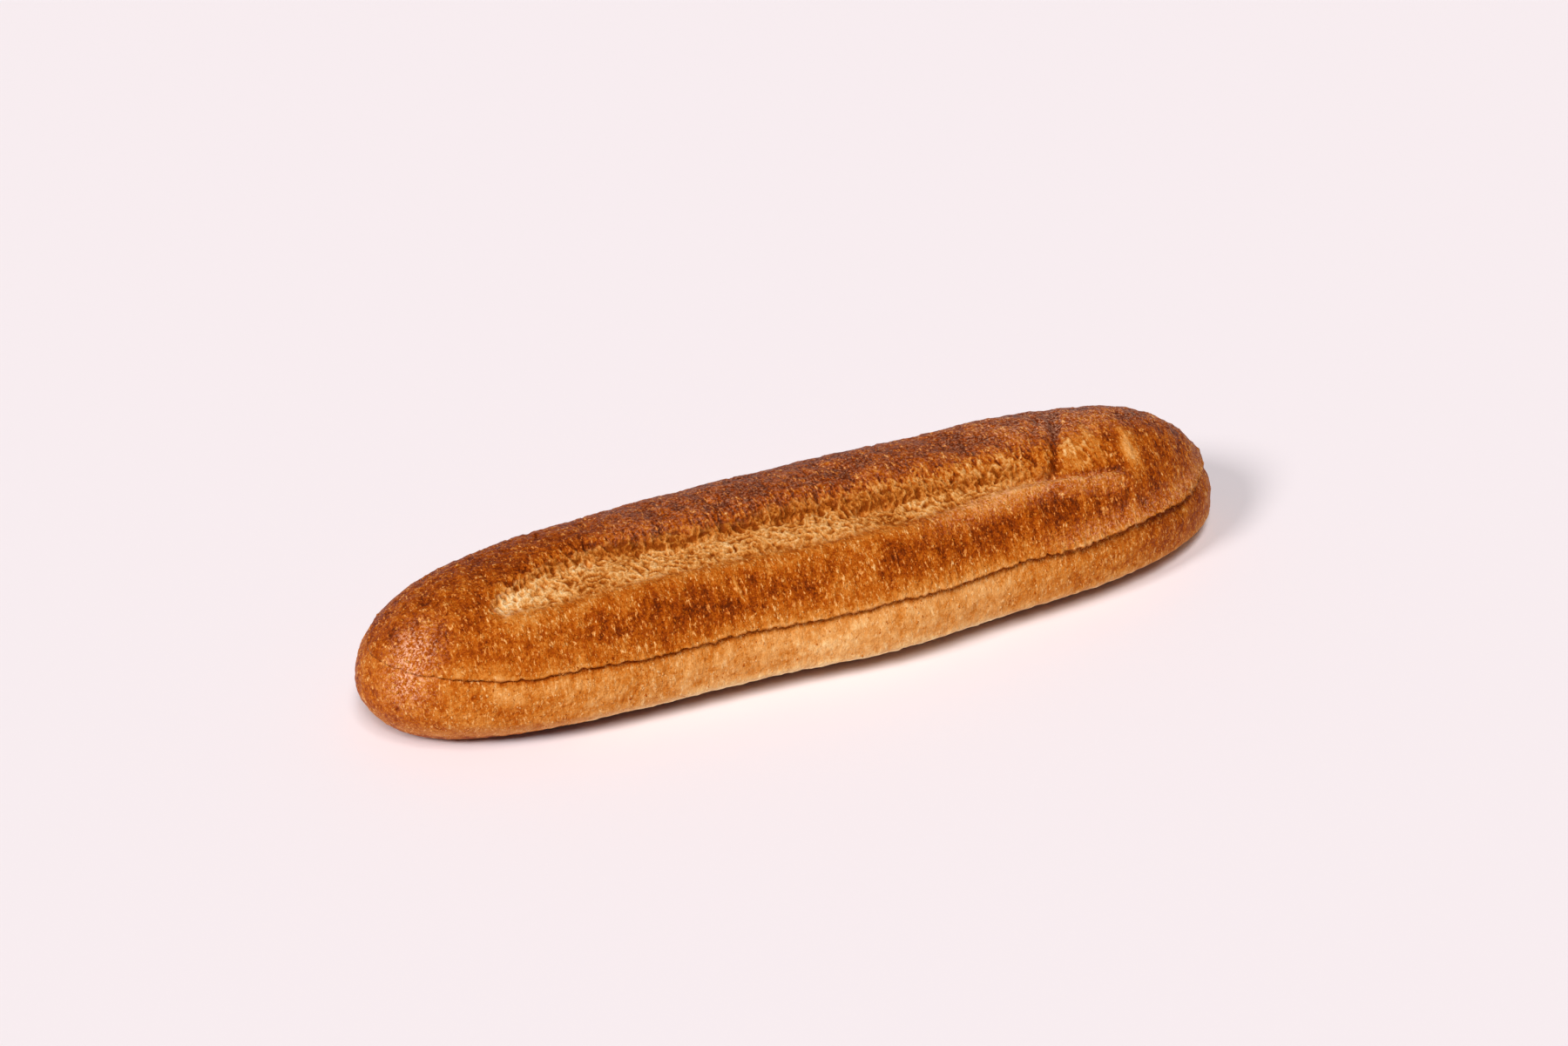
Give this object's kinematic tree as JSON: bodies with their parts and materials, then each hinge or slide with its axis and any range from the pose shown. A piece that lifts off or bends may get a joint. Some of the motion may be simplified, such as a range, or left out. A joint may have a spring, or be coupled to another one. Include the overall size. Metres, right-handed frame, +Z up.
{
  "type": "sub roll",
  "caption": "Long soft wholemeal bread roll with blunt rounded ends, an opened slash along its browned top and a level slicing cut round one side.",
  "frame": {"origin": "middle of the underside, at the centre of the roll's length and width", "axes": "+X along the roll towards the fuller end, -Y towards the side with the slicing cut, +Z up"},
  "size_m": [0.29, 0.0822, 0.0458],
  "materials": {
    "crust": "baked wholemeal crust, matte with a soft sheen where it is browned"
  },
  "bodies": {
    "root": {"roll": "crust"}
  },
  "joints": []
}
